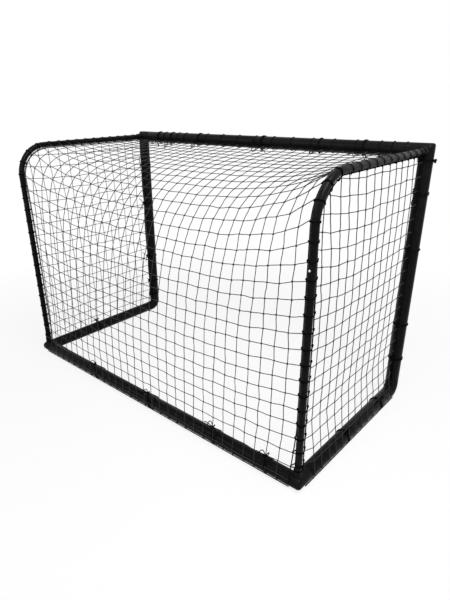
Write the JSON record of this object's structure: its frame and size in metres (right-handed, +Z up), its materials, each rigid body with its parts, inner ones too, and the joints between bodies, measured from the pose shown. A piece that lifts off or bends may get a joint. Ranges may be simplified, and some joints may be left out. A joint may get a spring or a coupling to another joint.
{
  "type": "football goal",
  "caption": "Free-standing push-together tube goal with a laced knotted net over its roof, back and sides.",
  "frame": {"origin": "on the ground, at the middle of the goal's bounding box", "axes": "+X along the crossbar, to the right as seen from in front of the mouth; +Y from the mouth to the back; +Z up"},
  "size_m": [1.8254, 0.9266, 1.2048],
  "materials": {
    "coated_steel": "satin black powder coat",
    "corner_moulding": "satin black moulding",
    "spring_steel": "plain",
    "plated_button": "bright plated",
    "net_twine": "black twine"
  },
  "bodies": {
    "goal": {"button_spring_left": "spring_steel", "button_spring_right": "spring_steel", "crossbar_left": "coated_steel", "crossbar_right": "coated_steel", "crossbar_sleeve": "spring_steel", "crossbar_tie_1": "net_twine", "crossbar_tie_2": "net_twine", "crossbar_tie_3": "net_twine", "crossbar_tie_4": "net_twine", "crossbar_tie_5": "net_twine", "crossbar_tie_6": "net_twine", "foot_elbow_left": "corner_moulding", "foot_elbow_right": "corner_moulding", "net_back": "net_twine", "net_roof": "net_twine", "net_shoulder": "net_twine", "net_side_left": "net_twine", "net_side_right": "net_twine", "post_left": "coated_steel", "post_right": "coated_steel", "post_tie_left_1": "net_twine", "post_tie_left_2": "net_twine", "post_tie_left_3": "net_twine", "post_tie_left_4": "net_twine", "post_tie_right_1": "net_twine", "post_tie_right_2": "net_twine", "post_tie_right_3": "net_twine", "post_tie_right_4": "net_twine", "rear_bar_left": "coated_steel", "rear_bar_right": "coated_steel", "rear_bar_sleeve": "spring_steel", "rear_corner_left": "corner_moulding", "rear_corner_right": "corner_moulding", "rear_upright_left": "coated_steel", "rear_upright_right": "coated_steel", "roof_tube_left": "coated_steel", "roof_tube_right": "coated_steel", "side_bar_left": "coated_steel", "side_bar_right": "coated_steel", "top_corner_left": "corner_moulding", "top_corner_right": "corner_moulding"},
    "snap_button_left": {"snap_button_left": "plated_button"},
    "snap_button_right": {"snap_button_right": "plated_button"}
  },
  "joints": [
    {"name": "left_button_press", "type": "slide", "parent": "goal", "child": "snap_button_left", "axis": [0, -1, 0], "range_m": [0, 0.0045], "stiffness_N_per_m": 1500, "springref_m": -0.003, "deforming": ["button_spring_left"]},
    {"name": "right_button_press", "type": "slide", "parent": "goal", "child": "snap_button_right", "axis": [0, -1, 0], "range_m": [0, 0.0045], "stiffness_N_per_m": 1500, "springref_m": -0.003, "deforming": ["button_spring_right"]}
  ]
}
